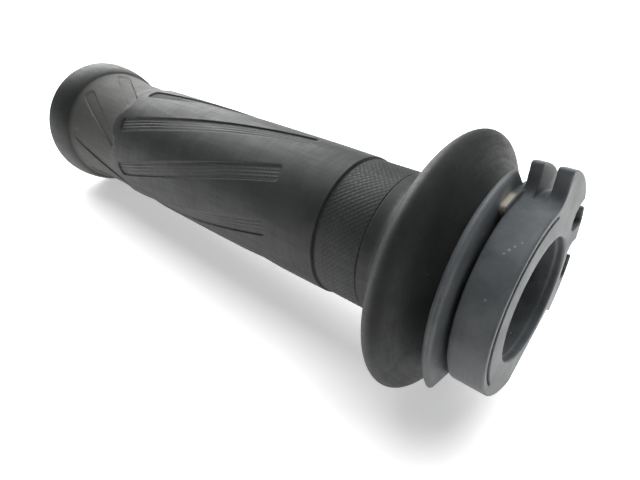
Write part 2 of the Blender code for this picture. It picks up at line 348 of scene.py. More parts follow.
def slot_offsets(slot, station, angles, radius):
    """Distances across and along from the middle of the nearest slot, and the distance inside its edge."""
    lean = radians(slot["slope"]) * radius
    lean_cos = 1 / np.sqrt(1 + lean * lean)
    offset = angles - slot["first"] - slot["slope"] * (station - slot["at"])
    offset = (offset + SLOT_PITCH / 2) % SLOT_PITCH - SLOT_PITCH / 2
    across = np.radians(offset) * radius * lean_cos
    along = (station - (slot["start"] + slot["end"]) / 2) / lean_cos + across * lean
    reach = (slot["end"] - slot["start"]) / 2 / lean_cos
    side = np.abs(across) - (slot["half"] - SLOT_CORNER)
    end = np.abs(along) - (reach - SLOT_CORNER) + np.zeros_like(side)
    outside = np.hypot(np.maximum(side, 0.0), np.maximum(end, 0.0))
    inside = SLOT_CORNER - outside - np.minimum(np.maximum(side, end), 0.0)
    return across, along, inside


def long_slots(station, angles, radius):
    """How far the long slots sink the surface, ribbed lengthwise and cross-hatched at their inboard end."""
    across, along, inside = slot_offsets(LONG, station, angles, radius)
    wall = smooth(0.0, SLOT_WALL, inside)
    rib = 0.5 + 0.5 * np.cos(2 * pi * across / RIB_PITCH)
    hatch = 0.5 + 0.5 * np.cos(2 * pi * along / HATCH_PITCH)
    hatched = smooth(HATCH_END - 2.0, HATCH_END + 4.0, station)
    worn = 1 - 0.8 * smooth(WORN[0], WORN[1], station) * smooth(WORN[3], WORN[2], station)
    height = RIB_HEIGHT * rib * (1 - hatched + hatched * hatch) * smooth(RIB_EDGE, RIB_FULL, inside) * worn
    return LONG["depth"] * wall - height, wall


def short_slots(station, angles, radius):
    """How far the short slots sink the surface, less so towards the bead, with faint ribs lengthwise."""
    across, _, inside = slot_offsets(SHORT, station, angles, radius)
    fade = smooth(SHORT["start"] - 1.0, SHORT["start"] + 9.0, station)
    wall = smooth(0.0, SLOT_WALL, inside) * (0.6 + 0.4 * fade)
    rib = 0.5 + 0.5 * np.cos(2 * pi * across / RIB_PITCH)
    height = 0.2 * RIB_HEIGHT * rib * smooth(RIB_EDGE, RIB_FULL, inside)
    return SHORT["depth"] * wall - height * wall, wall


def slot_columns(slot, radius, count):
    """Columns for a zone of slots: close together over each slot's walls and floor, wide apart between."""
    lean = radians(slot["slope"]) * radius
    per_mm = 180 / pi / radius * sqrt(1 + lean * lean)
    half = slot["half"]
    wall = [half + 0.6, half + 0.3, half + 0.1, half - 0.02, half - 0.13, half - 0.25, half - 0.4]
    floor_half = half - 0.54
    floor = list(np.linspace(-floor_half, floor_half, count))
    across = [-w for w in wall] + floor + wall[::-1]
    offsets = [a * per_mm for a in across]
    gap = np.linspace(offsets[-1], SLOT_PITCH + offsets[0], 6)[1:-1]
    offsets += list(gap)
    angles = []
    for k in range(round(360.0 / SLOT_PITCH)):
        angles += [slot["first"] + SLOT_PITCH * k + o for o in offsets]
    return np.array(angles)


def body_stations():
    """Stations of the body's rings: close together over the hatching and at the slots' ends."""
    hatch_start = LONG["end"] + 1.0
    stations = sweep(KNURL_EDGE - 0.9, hatch_start - 0.4, 1.4)[:-1]
    stations += sweep(hatch_start, HATCH_END - 1.0, HATCH_PITCH / 4)
    stations += sweep(HATCH_END - 2.0, LONG["start"] + 2.4, 1.2)
    stations += sweep(LONG["start"] + 2.0, LONG["start"] - 0.8, 0.2)
    return stations


def add_body(skin):
    """The body, in columns that follow the long slots, then the waist, in columns along the short ones."""
    columns = slot_columns(LONG, BODY_RADIUS, 19)
    angles = columns + LONG["slope"] * (KNURL_EDGE - LONG["at"])
    skin.ring(KNURL_EDGE + 0.18, KNURL_RADIUS - GROOVE_DEPTH, angles, 1.0)
    skin.ring(KNURL_EDGE + 0.05, BODY_NEAR_RADIUS - 0.2, angles)
    skin.ring(KNURL_EDGE - 0.12, BODY_NEAR_RADIUS, angles)
    for station in body_stations():
        angles = columns + LONG["slope"] * (station - LONG["at"])
        base = body_radius(station, angles)
        sunk, wall = long_slots(station, angles, base)
        skin.ring(station, base - sunk + sway(station, angles), angles, wall)
    columns = slot_columns(SHORT, BODY_RADIUS, 13)
    stations = sweep(SHORT["end"] + 1.2, SHORT["end"] - 2.4, 0.2)
    stations += sweep(SHORT["end"] - 2.8, BEAD_EDGE + 0.8, 0.5)
    for station in stations:
        angles = columns + SHORT["slope"] * (station - SHORT["at"])
        base = body_radius(station, angles)
        sunk, wall = short_slots(station, angles, base)
        skin.ring(station, base - sunk + sway(station, angles), angles, wall)


def sway(station, angles):
    """The slight unevenness of a moulded rubber wall."""
    turn = np.radians(angles)
    wave = np.sin(2 * turn + station * 0.11) + 0.6 * np.sin(3 * turn - station * 0.17 + 1.0)
    ends = smooth(KNURL_EDGE + 1.0, KNURL_EDGE - 9.0, station) * smooth(BEAD_EDGE, BEAD_EDGE + 8.0, station)
    return SWAY * wave * ends


def add_bead(skin):
    """The flared bead at the outboard end, and the end face down to its lip."""
    columns = even(144)
    skin.ring(BEAD_EDGE + 0.3, BEAD_INNER_RADIUS - 0.12, columns, 0.5)
    skin.ring(BEAD_EDGE + 0.12, BEAD_INNER_RADIUS - 0.1, columns, 0.8)
    profile = bezier(
        (BEAD_INNER_RADIUS, BEAD_EDGE),
        (BEAD_INNER_RADIUS + 0.9, BEAD_EDGE - 0.9),
        (BEAD_RADIUS, BEAD_EDGE - 4.4),
        (BEAD_RADIUS, OUTBOARD_END + BEAD_ROUND),
        14,
    )
    profile += arc((BEAD_RADIUS - BEAD_ROUND, OUTBOARD_END + BEAD_ROUND), BEAD_ROUND, 0.0, -90.0, 7)
    profile += [(BEAD_RADIUS - BEAD_ROUND - 1.2, OUTBOARD_END), (LIP_RADIUS + 0.8, OUTBOARD_END)]
    profile += arc((LIP_RADIUS + 0.5, OUTBOARD_END + 0.5), 0.5, -90.0, -180.0, 4)
    for radius, station in profile:
        skin.ring(station, radius, columns)


def add_inside(skin):
    """The lip over the tube's end, and the bore back to the flange."""
    columns = even(96)
    bore = TUBE_RADIUS + FIT_GAP
    stop = TUBE_END - FIT_GAP
    skin.ring(stop, LIP_RADIUS, columns)
    for station in (stop, WAIST, SHOULDER, MID_BODY, KNURL_EDGE, SLEEVE_START - 0.9):
        skin.ring(station, bore, columns)
    skin.ring(SLEEVE_START, bore + 0.9, columns)


def make_sleeve():
    """The rubber sleeve as one closed skin, ring by ring from the guard ring round to the bore."""
    skin = Skin()
    add_ring(skin)
    add_knurl(skin)
    add_body(skin)
    add_bead(skin)
    add_inside(skin)
    skin.close()
    obj = bpy.data.objects.new("grip_sleeve", skin.mesh("grip_sleeve"))
    bpy.context.scene.collection.objects.link(obj)
    return obj


# The twist tube

LUG_START = -5.0
LUG_END = -47.0
LUG_HIGH = tube_box[1][2] + 0.13
LUG_LOW = 19.75
LUG_FOOT = 2.4
SLOT_NEAR = -2.4
SLOT_WIDTH = 2.0
SLOT_FLOOR = 18.0
SLOT_END = -52.0
POCKET_WALL_END = 17.3
NOTCH_START = -79.0
RETURN_RADIUS = 16.85
RELIEF_START = -132.0
RELIEF_FLAT = 13.5
RELIEF_MIDDLE = -149.0
RELIEF_END = -190.0
POCKET_DEPTH = 5.0
GROOVE_START = -100.0
GROOVE_FLOOR = 14.6
CRESCENT_RADIUS = 16.1
CRESCENT_SHIFT = 0.5
CRESCENT_MIDDLE = 60.0
CRESCENT_HALF_ANGLE = 68.0
CRESCENT_WIDTH = 1.1
CRESCENT_DEPTH = 0.7
WEB_START = 14.5
WEB_END = -40.0
WEB_RADIUS = 18.9

# The two nipple pockets in the drum's face, as (y, z) points. Each opens outwards through a notch.
PULL_POCKET = [
    (17.5, 13.8),
    (12.4, 13.0),
    (11.0, 12.3),
    (10.4, 10.7),
    (10.8, 8.8),
    (12.3, 7.6),
    (15.9, 7.5),
    (16.5, 8.1),
    (15.25, 10.9),
    (18.0, 11.6),
]
RETURN_POCKET = [
    (18.5, 3.1),
    (15.3, 3.9),
    (14.1, 3.7),
    (13.4, 2.8),
    (13.3, 0.5),
    (13.1, -2.6),
    (13.6, -3.9),
    (15.3, -4.1),
    (16.0, -3.3),
    (16.35, 0.0),
    (18.5, 0.4),
]

# The flange's two flats as (distance from the axis, angle), and the round of the drum's front edge in
# (inset, depth) steps up to the face
FLATS = [(14.6, 165.0), (15.2, -47.5)]
ROUND_STEPS = [(0.0, -0.22), (0.06, -0.1), (0.2, 0.0)]

# The drum end is made with a short stub of tube, remeshed, cut across the stub and carried on from there
STUB_END = -14.0
STUB_CUT = -12.0
CLEAR = 1.0
WELD = 0.003
VOXEL = 0.19
TUBE_TRIANGLES = 170000


def polar(x, radius, angle):
    """A point in metres, from its station, radius and angle."""
    turn = radians(angle)
    return Vector((x, -radius * sin(turn), radius * cos(turn))) * MM


def scratch():
    """A collection for tools that aren't part of the model."""
    found = bpy.data.collections.get("scratch")
    if not found:
        found = bpy.data.collections.new("scratch")
        bpy.context.scene.collection.children.link(found)
    return found


def placed(name, mesh):
    obj = bpy.data.objects.new(name, mesh)
    scratch().objects.link(obj)
    return obj


def prism(name, outline, near, far):
    """A solid between two stations, from an outline of (radius, angle) points."""
    curve = bpy.data.curves.new(name, "CURVE")
    curve.dimensions = "2D"
    curve.fill_mode = "BOTH"
    curve.extrude = abs(far - near) / 2 * MM
    spline = curve.splines.new("POLY")
    spline.points.add(len(outline) - 1)
    spline.use_cyclic_u = True
    for point, (radius, angle) in zip(spline.points, outline):
        turn = radians(angle)
        point.co = (-radius * sin(turn) * MM, radius * cos(turn) * MM, 0.0, 1.0)
    obj = placed(name, curve)
    obj.rotation_euler = (pi / 2, 0.0, pi / 2)
    obj.location = ((near + far) / 2 * MM, 0.0, 0.0)
    bpy.context.view_layer.update()
    mesh = bpy.data.meshes.new_from_object(obj.evaluated_get(bpy.context.evaluated_depsgraph_get()))
    mesh.transform(obj.matrix_world)
    work = bmesh.new()
    work.from_mesh(mesh)
    bmesh.ops.remove_doubles(work, verts=work.verts, dist=WELD * MM)
    bmesh.ops.recalc_face_normals(work, faces=work.faces)
    work.to_mesh(mesh)
    work.free()
    bpy.data.objects.remove(obj, do_unlink=True)
    return placed(name, mesh)


def loft(name, sections):
    """A solid through (station, outline) sections that all have the same number of points."""
    work = bmesh.new()
    rings = []
    for x, outline in sections:
        rings.append([work.verts.new(polar(x, radius, angle)) for radius, angle in outline])
    for first, second in zip(rings, rings[1:]):
        for i in range(len(first)):
            work.faces.new((first[i - 1], first[i], second[i], second[i - 1]))
    work.faces.new(rings[0])
    work.faces.new(rings[-1])
    bmesh.ops.recalc_face_normals(work, faces=work.faces)
    mesh = bpy.data.meshes.new(name)
    work.to_mesh(mesh)
    work.free()
    return placed(name, mesh)


def lathe(name, profile, count=180):
    """A closed (radius, station) profile, turned about the bar."""
    skin = Skin()
    for radius, station in profile:
        skin.ring(station, radius, even(count))
    skin.close()
    return placed(name, skin.mesh(name))


def block(name, near, far, at, angle, wide=60.0, tall=12.0):
    """A block whose near side lies at this distance from the bar's axis."""
    work = bmesh.new()
    bmesh.ops.create_cube(work, size=MM)
    mesh = bpy.data.meshes.new(name)
    work.to_mesh(mesh)
    work.free()
    size = Matrix.Diagonal((abs(far - near), wide, tall, 1.0))
    place = Matrix.Translation(polar((near + far) / 2, at + tall / 2, angle))
    mesh.transform(place @ Matrix.Rotation(radians(angle), 4, "X") @ size)
    return placed(name, mesh)


def combine(obj, tool, operation):
    """Adds or cuts a closed tool. MANIFOLD, as EXACT leaves open edges where the drum meets the stub."""
    boolean = obj.modifiers.new(tool.name, "BOOLEAN")
    boolean.object = tool
    boolean.operation = operation
    boolean.solver = "MANIFOLD"
    tool.hide_render = True


def sector(inner, outer, first, last):
    """The outline of a part of a ring, from one angle to another."""
    angles = sweep(first, last, 2.0)
    return [(outer, a) for a in angles] + [(inner, a) for a in reversed(angles)]


def drum_outline():
    """The drum from its inboard face: round near side, lug, far side and the flat that relieves it."""
    outline = [(DRUM_RADIUS, a) for a in sweep(RELIEF_END + 358.0, LUG_START + 9.0, 2.0)]
    spread = LUG_FOOT / DRUM_RADIUS * 180 / pi
    for angle in sweep(10.0, 90.0, 8.0):
        turn = radians(angle)
        outline.append((DRUM_RADIUS + LUG_FOOT * (1 - cos(turn)), LUG_START + spread * (1 - sin(turn))))
    outline += [(LUG_HIGH - 0.5, LUG_START), (LUG_HIGH - 0.12, LUG_START - 0.4)]
    for angle in sweep(LUG_START - 1.4, LUG_END, 2.0):
        fall = (LUG_START - angle) / (LUG_START - LUG_END)
        outline.append((LUG_HIGH + (LUG_LOW - LUG_HIGH) * fall ** 1.1, angle))
    for angle in sweep(LUG_END - 2.0, NOTCH_START, 2.0):
        fall = (LUG_END - angle) / (LUG_END - NOTCH_START)
        outline.append((LUG_LOW + (POCKET_WALL_END - LUG_LOW) * fall ** 1.3, angle))
    outline += [(RETURN_RADIUS, a) for a in sweep(NOTCH_START - 4.0, RELIEF_START, 2.0)]
    angles = sweep(RELIEF_START, RELIEF_END, 2.0)
    return outline + [(RELIEF_FLAT / cos(radians(a - RELIEF_MIDDLE)), a) for a in angles]


def as_polar(points):
    """Points across the bar, (y, z), as (radius, angle)."""
    return [(hypot(y, z), degrees(atan2(-y, z))) for y, z in points]


def crescent():
    """The outline of the thin recess in the face, which tapers at both ends."""
    outer = []
    inner = []
    for a in sweep(-CRESCENT_HALF_ANGLE, CRESCENT_HALF_ANGLE, 2.0):
        half = CRESCENT_WIDTH / 2 * max(0.1, 1 - (a / CRESCENT_HALF_ANGLE) ** 4)
        turn = radians(a)
        reach = CRESCENT_SHIFT * cos(turn) + sqrt(CRESCENT_RADIUS**2 - (CRESCENT_SHIFT * sin(turn)) ** 2)
        outer.append((reach + half, CRESCENT_MIDDLE + a))
        inner.append((reach - half, CRESCENT_MIDDLE + a))
    return outer + inner[::-1]


def stub_profile():
    """The flange, the drum's ring and a short tube, with a narrow hole, as the bore is cut last."""
    edge = DISC_RADIUS - DISC_ROUND
    profile = [(TUBE_RADIUS, -MOUTH_DEPTH), (TUBE_RADIUS, -DRUM_WIDTH + 1.4)]
    profile += [(NECK_RADIUS, -DRUM_WIDTH + 0.4), (NECK_RADIUS, DISC_FACE)]
    profile += arc((edge, DISC_FACE - DISC_ROUND), DISC_ROUND, 90.0, 0.0, 6)
    back_edge = (DISC_RADIUS - DISC_BACK_ROUND, DISC_BACK + DISC_BACK_ROUND)
    profile += arc(back_edge, DISC_BACK_ROUND, 0.0, -90.0, 8)
    profile += [(TUBE_RADIUS, DISC_BACK), (TUBE_RADIUS, STUB_END)]
    return profile + [(BLANK_BORE, STUB_END), (BLANK_BORE, -MOUTH_DEPTH)]


def bore_sections():
    """The bore, with a wider mouth and a chamfer at the face."""
    steps = [(CLEAR, MOUTH_RADIUS + MOUTH_CHAMFER + CLEAR), (-MOUTH_CHAMFER, MOUTH_RADIUS)]
    steps += [(-MOUTH_DEPTH, MOUTH_RADIUS), (-MOUTH_DEPTH - 0.15, BORE_RADIUS)]
    steps += [(STUB_END - CLEAR, BORE_RADIUS)]
    return [(station, [(radius, a) for a in sweep(0.0, 358.0, 2.0)]) for station, radius in steps]


def inset_outline(outline, inset):
    """The outline moved in by this much, square to itself."""
    points = [np.array((r * sin(radians(a)), r * cos(radians(a)))) for r, a in outline]
    moved = []
    for before, point, after in zip(points[-1:] + points[:-1], points, points[1:] + points[:1]):
        along = (after - before) / np.linalg.norm(after - before)
        square = np.array((along[1], -along[0]))
        if square @ point < 0:
            square = -square
        y, z = point - square * inset
        moved.append((hypot(y, z), degrees(atan2(y, z))))
    return moved


def drum_solid():
    """The drum, flange and stub in one solid with crisp edges."""
    solid = lathe("drum_solid", stub_profile())
    outline = drum_outline()
    sections = [(-DRUM_WIDTH, outline)]
    sections += [(FACE + depth, inset_outline(outline, inset)) for inset, depth in ROUND_STEPS]
    combine(solid, loft("drum_blank", sections), "UNION")
    for i, (at, angle) in enumerate(FLATS):
        combine(solid, block(f"flat_{i}", DISC_FACE + 0.5, DISC_BACK - 0.5, at, angle), "DIFFERENCE")
    web = sector(TUBE_RADIUS + 0.4, WEB_RADIUS, WEB_START, WEB_END)
    combine(solid, prism("web", web, -DRUM_WIDTH + 0.3, DISC_FACE - 0.3), "UNION")
    slot = sector(SLOT_FLOOR, LUG_HIGH + 2.0, LUG_START + 12.0, SLOT_END)
    combine(solid, prism("lug_slot", slot, SLOT_NEAR, SLOT_NEAR - SLOT_WIDTH), "DIFFERENCE")
    groove = sector(GROOVE_FLOOR, RETURN_RADIUS + 2.0, GROOVE_START, RELIEF_START - 3.0)
    combine(solid, prism("groove", groove, SLOT_NEAR, SLOT_NEAR - SLOT_WIDTH), "DIFFERENCE")
    for name, pocket in (("pull", PULL_POCKET), ("return", RETURN_POCKET)):
        combine(solid, prism(name, as_polar(pocket), CLEAR, -POCKET_DEPTH), "DIFFERENCE")
    combine(solid, prism("crescent", crescent(), CLEAR, -CRESCENT_DEPTH), "DIFFERENCE")
    combine(solid, loft("bore", bore_sections()), "DIFFERENCE")
    return solid


def softened(solid):
    """The solid remeshed finely, so that every moulded edge is slightly round."""
    remesh = solid.modifiers.new("remesh", "REMESH")
    remesh.mode = "VOXEL"
    remesh.voxel_size = VOXEL * MM
    blur = solid.modifiers.new("blur", "SMOOTH")
    blur.factor = 0.5
    blur.iterations = 3
    bpy.context.view_layer.update()
    mesh = bpy.data.meshes.new_from_object(solid.evaluated_get(bpy.context.evaluated_depsgraph_get()))
    count = sum(len(p.vertices) - 2 for p in mesh.polygons)
    thin = placed("thin", mesh)
    decimate = thin.modifiers.new("thin", "DECIMATE")
    decimate.ratio = min(1.0, TUBE_TRIANGLES / count)
    bpy.context.view_layer.update()
    made = bpy.data.meshes.new_from_object(thin.evaluated_get(bpy.context.evaluated_depsgraph_get()))
    bpy.data.objects.remove(thin, do_unlink=True)
    made.polygons.foreach_set("material_index", np.zeros(len(made.polygons), dtype=np.int32))
    made.materials.clear()
    return made


def make_tube():
    """The softened drum end, cut across its stub and carried on to the tube's outboard end."""
    mesh = softened(drum_solid())
    work = bmesh.new()
    work.from_mesh(mesh)
    bmesh.ops.bisect_plane(
        work,
        geom=work.verts[:] + work.edges[:] + work.faces[:],
        dist=1e-8,
        plane_co=Vector((STUB_CUT * MM, 0.0, 0.0)),
        plane_no=(-1, 0, 0),
        clear_outer=True,
    )
    rim = [v for v in work.verts if v.is_boundary]
    inner_rim = [v for v in rim if radius_of(v.co) < WALL_MIDDLE * MM]
    outer_rim = [v for v in rim if radius_of(v.co) >= WALL_MIDDLE * MM]
    extend(work, inner_rim, outer_rim)
    work.to_mesh(mesh)
    work.free()
    finished(mesh, 60.0)
    obj = bpy.data.objects.new("twist_tube", mesh)
    bpy.context.scene.collection.objects.link(obj)
    for tool in list(scratch().objects):
        bpy.data.objects.remove(tool, do_unlink=True)
    bpy.data.collections.remove(scratch())
    return obj


def radius_of(point):
    return hypot(point.y, point.z)


def angle_of(point):
    return degrees(atan2(-point.y, point.z)) % 360.0


def extend(work, inner_rim, outer_rim):
    """Carries both rims of the cut stub along the bar and closes them at the tube's end."""
    inner, outer = BORE_RADIUS, TUBE_RADIUS
    stations = (STUB_CUT - 1.0, KNURL_EDGE, MID_BODY, SHOULDER)
    profile = [(outer, station) for station in stations]
    profile += [(outer, TUBE_END + 0.5), (outer - 0.15, TUBE_END + 0.15), (outer - 0.5, TUBE_END)]
    profile += [(inner + 0.3, TUBE_END), (inner, TUBE_END + 0.3)]
    profile += [(inner, station) for station in reversed(stations)]
    columns = even(120)
    skin = Skin()
    rims = []
    for rim in (outer_rim, inner_rim):
        rims.append((len(skin.points), np.array([angle_of(v.co) for v in rim])))
        skin.points += [v.co.copy() for v in rim]
    skin.rings.append(rims[0])
    for radius, station in profile:
        skin.ring(station, radius, columns)
    skin.join(skin.rings[-1], rims[1])
    verts = list(outer_rim) + list(inner_rim)
    verts += [work.verts.new(Vector(p)) for p in skin.points[len(verts):]]
    for face in skin.faces:
        work.faces.new([verts[i] for i in face])


# Materials

class Nodes:
    """A few short names for building one material's nodes."""

    def __init__(self, name):
        self.material = bpy.data.materials.new(name)
        self.material.use_nodes = True
        self.tree = self.material.node_tree
        self.shader = self.tree.nodes["Principled BSDF"]
        coordinates = self.tree.nodes.new("ShaderNodeTexCoord")
        self.place = coordinates.outputs["Object"]

    def link(self, value, socket):
        if isinstance(value, bpy.types.NodeSocket):
            self.tree.links.new(value, socket)
        else:
            socket.default_value = value

    def mapped(self, scale, turn=(0.0, 0.0, 0.0)):
        node = self.tree.nodes.new("ShaderNodeMapping")
        self.link(self.place, node.inputs["Vector"])
        node.inputs["Scale"].default_value = scale
        node.inputs["Rotation"].default_value = turn
        return node.outputs["Vector"]

    def noise(self, vector, scale, detail=3.0, roughness=0.55):
        node = self.tree.nodes.new("ShaderNodeTexNoise")
        self.link(vector, node.inputs["Vector"])
        node.inputs["Scale"].default_value = scale
        node.inputs["Detail"].default_value = detail
        node.inputs["Roughness"].default_value = roughness
        return node.outputs["Fac"]

    def cells(self, vector, scale):
        node = self.tree.nodes.new("ShaderNodeTexVoronoi")
        self.link(vector, node.inputs["Vector"])
        node.inputs["Scale"].default_value = scale
        return node.outputs["Distance"]

    def band(self, value, low, high, out_low=0.0, out_high=1.0):
        node = self.tree.nodes.new("ShaderNodeMapRange")
        node.interpolation_type = "SMOOTHSTEP"
        self.link(value, node.inputs["Value"])
        node.inputs["From Min"].default_value = low
        node.inputs["From Max"].default_value = high
        node.inputs["To Min"].default_value = out_low
        node.inputs["To Max"].default_value = out_high
        return node.outputs["Result"]

    def math(self, operation, one, other=0.0):
        node = self.tree.nodes.new("ShaderNodeMath")
        node.operation = operation
        self.link(one, node.inputs[0])
        self.link(other, node.inputs[1])
        return node.outputs["Value"]

    def mix(self, factor, one, other):
        node = self.tree.nodes.new("ShaderNodeMix")
        node.data_type = "RGBA"
        self.link(factor, node.inputs["Factor"])
        self.link(one, node.inputs["A"])
        self.link(other, node.inputs["B"])
        return next(o for o in node.outputs if o.type == "RGBA")

    def axis(self, name):
        """The distance along one axis, in millimetres."""
        node = self.tree.nodes.new("ShaderNodeSeparateXYZ")
        self.link(self.place, node.inputs["Vector"])
        return self.math("MULTIPLY", node.outputs[name], 1000.0)

    def spot(self, centre, radius):
        """One inside a ball round this point, fading to zero at its edge."""
        node = self.tree.nodes.new("ShaderNodeVectorMath")
        node.operation = "DISTANCE"
        self.link(self.place, node.inputs[0])
        node.inputs[1].default_value = centre
        return self.band(node.outputs["Value"], 0.4 * radius * MM, radius * MM, 1.0, 0.0)

    def attribute(self, name):
        node = self.tree.nodes.new("ShaderNodeAttribute")
        node.attribute_name = name
        return node.outputs["Fac"]

    def bump(self, height, distance, strength, under=None):
        node = self.tree.nodes.new("ShaderNodeBump")
        self.link(height, node.inputs["Height"])
        node.inputs["Distance"].default_value = distance * MM
        node.inputs["Strength"].default_value = strength
        if under is not None:
            self.link(under, node.inputs["Normal"])
        return node.outputs["Normal"]


def colour(red, green, blue):
    """A colour with the fourth value that shader sockets want."""
    return (red, green, blue, 1.0)


# Pale marks on the drum's side as (station, angle, size), and a painted pool of light on the web
MARKS = [(-2.4, 31.0, 0.24), (-2.9, 33.5, 0.3), (-3.3, 36.0, 0.22), (-2.9, 59.0, 0.2), (-1.8, 28.0, 0.18)]
PAINTED_LIGHT_PLACE = polar(-6.9, WEB_RADIUS, 9.5)
PAINTED_LIGHT_SIZE = 2.8


def rubber():
    """Worn grip rubber: satin on the ridges, with grain and scuffs. Painted light makes it paler in the
    slots and hollows and on the waist.
    """
    nodes = Nodes("grip_rubber")
    mottle = nodes.noise(nodes.place, 140.0, 4.0, 0.6)
    patch = nodes.noise(nodes.place, 38.0, 2.0)
    grain = nodes.noise(nodes.place, 4200.0, 2.0)
    scuff = nodes.noise(nodes.mapped((2600.0, 160.0, 160.0)), 1.0, 3.0)
    rub = nodes.noise(nodes.mapped((90.0, 1500.0, 1500.0), (0.0, 0.12, 0.0)), 1.0, 3.0)
    recess = nodes.attribute("recess")
    dark, light = colour(0.018, 0.020, 0.019), colour(0.027, 0.029, 0.028)
    base = nodes.mix(nodes.band(mottle, 0.35, 0.65), dark, light)
    base = nodes.mix(nodes.band(patch, 0.45, 0.7, 0.0, 0.5), base, colour(0.025, 0.030, 0.029))
    dust = nodes.math("MULTIPLY", nodes.band(grain, 0.5, 0.75), nodes.band(patch, 0.4, 0.65, 0.1, 0.5))
    base = nodes.mix(dust, base, colour(0.045, 0.046, 0.042))
    # Painted light: the slots, grooves and knurl hollows are painted paler, to offset the shade that falls
    # in them
    base = nodes.mix(nodes.band(recess, 0.3, 1.0, 0.0, 0.7), base, colour(0.058, 0.061, 0.058))
    along = nodes.axis("X")
    past_bead = nodes.band(along, BEAD_EDGE - 0.6, BEAD_EDGE + 1.5)
    # Painted light: the waist and the neck by the bead are painted paler, standing in for light bounced
    # onto them from the floor
    waist = nodes.math("MULTIPLY", past_bead, nodes.band(along, SHOULDER, SHOULDER - 5.0))
    base = nodes.mix(nodes.math("MULTIPLY", waist, 0.8), base, colour(0.072, 0.071, 0.066))
    specks = nodes.band(nodes.cells(nodes.place, 420.0), 0.05, 0.11, 0.6, 0.0)
    specks = nodes.math("MULTIPLY", specks, nodes.band(nodes.noise(nodes.place, 60.0), 0.52, 0.66))
    base = nodes.mix(specks, base, colour(0.13, 0.13, 0.12))
    nodes.link(base, nodes.shader.inputs["Base Color"])
    rough = nodes.band(scuff, 0.3, 0.7, 0.5, 0.6)
    rough = nodes.math("ADD", rough, nodes.band(recess, 0.2, 1.0, 0.0, 0.03))
    rough = nodes.math("ADD", rough, nodes.band(rub, 0.35, 0.7, -0.03, 0.05))
    rough = nodes.math("ADD", rough, nodes.math("MULTIPLY", waist, 0.14))
    nodes.link(rough, nodes.shader.inputs["Roughness"])
    fine = nodes.bump(grain, 0.05, 0.35)
    lines = nodes.bump(scuff, 0.02, 0.15, fine)
    nodes.link(nodes.bump(mottle, 0.12, 0.3, lines), nodes.shader.inputs["Normal"])
    nodes.shader.inputs["Specular IOR Level"].default_value = 0.4
    return nodes.material


def plastic():
    """Glass-filled nylon: blue-grey, finely scratched, with pale specks."""
    nodes = Nodes("drum_plastic")
    mottle = nodes.noise(nodes.place, 260.0, 4.0, 0.6)
    grain = nodes.noise(nodes.place, 5200.0, 2.0)
    lines = nodes.noise(nodes.mapped((3200.0, 130.0, 130.0), (0.0, 0.0, 0.2)), 1.0, 3.0)
    hairs = nodes.noise(nodes.mapped((260.0, 260.0, 3600.0), (0.6, 0.3, 0.0)), 1.0, 3.0)
    dark, light = colour(0.070, 0.077, 0.082), colour(0.100, 0.108, 0.113)
    base = nodes.mix(nodes.band(mottle, 0.3, 0.7), dark, light)
    scratches = nodes.band(hairs, 0.66, 0.78, 0.0, 0.45)
    base = nodes.mix(scratches, base, colour(0.16, 0.17, 0.17))
    specks = nodes.band(nodes.cells(nodes.place, 520.0), 0.06, 0.13, 0.8, 0.0)
    specks = nodes.math("MULTIPLY", specks, nodes.band(nodes.noise(nodes.place, 110.0), 0.5, 0.64))
    base = nodes.mix(specks, base, colour(0.32, 0.32, 0.31))
    for station, angle, size in MARKS:
        mark = nodes.spot(polar(station, DRUM_RADIUS, angle), size)
        base = nodes.mix(mark, base, colour(0.22, 0.22, 0.22))
    along = nodes.axis("X")
    behind_drum = nodes.band(along, 0.1 - DRUM_WIDTH, -0.15 - DRUM_WIDTH)
    gap = nodes.math("MULTIPLY", nodes.band(along, DISC_FACE - 0.1, DISC_FACE + 0.15), behind_drum)
    # Painted light: a pale beige pool of light painted on the web, in the gap between the drum and the
    # flange
    painted_light_patch = nodes.math("MULTIPLY", nodes.spot(PAINTED_LIGHT_PLACE, PAINTED_LIGHT_SIZE), gap)
    base = nodes.mix(painted_light_patch, base, colour(0.42, 0.39, 0.33))
    nodes.link(base, nodes.shader.inputs["Base Color"])
    rough = nodes.band(mottle, 0.3, 0.7, 0.44, 0.54)
    rough = nodes.math("ADD", rough, nodes.band(lines, 0.4, 0.7, -0.03, 0.06))
    nodes.link(rough, nodes.shader.inputs["Roughness"])
    fine = nodes.bump(grain, 0.03, 0.3)
    nodes.link(nodes.bump(lines, 0.02, 0.2, fine), nodes.shader.inputs["Normal"])
    return nodes.material


def paper():
    """The pale floor. It glows, which keeps it white and its shadow faint."""
    nodes = Nodes("paper")
    fibre = nodes.noise(nodes.place, 900.0, 3.0)
    base = nodes.mix(nodes.band(fibre, 0.3, 0.7), colour(0.86, 0.86, 0.85), colour(0.9, 0.9, 0.89))
    nodes.link(base, nodes.shader.inputs["Base Color"])
    nodes.shader.inputs["Roughness"].default_value = 0.8
    nodes.shader.inputs["Specular IOR Level"].default_value = 0.2
    nodes.shader.inputs["Emission Color"].default_value = colour(1.0, 1.0, 1.0)
    nodes.shader.inputs["Emission Strength"].default_value = FLOOR_GLOW
    return nodes.material


# The stage: floor, light and camera. Lamps are placed in metres, the floor, card and camera in millimetres.

TILT = 3.36
FLOOR_DEPTH = 26.3
BRIGHT_SIDE = (-0.35, 0.9, 0.15)
DIM_LEVEL = 0.08
FLOOR_GLOW = 0.45
BRIGHT_LEVEL = 0.5
LIGHT_AIM = (-0.05, 0.0, 0.0)
SOFTBOX = (-1.0, 0.42, 0.5)
SOFTBOX_SIZE = 0.8
SOFTBOX_POWER = 12.0
FILL = (-0.1, 0.4, 0.9)
FILL_SIZE = 1.4
FILL_POWER = 22.0
FLAG = [(-125.0, -95.0), (60.0, -20.0), (330.0, -300.0), (0.0, -420.0)]
FLAG_HEIGHT = -23.0


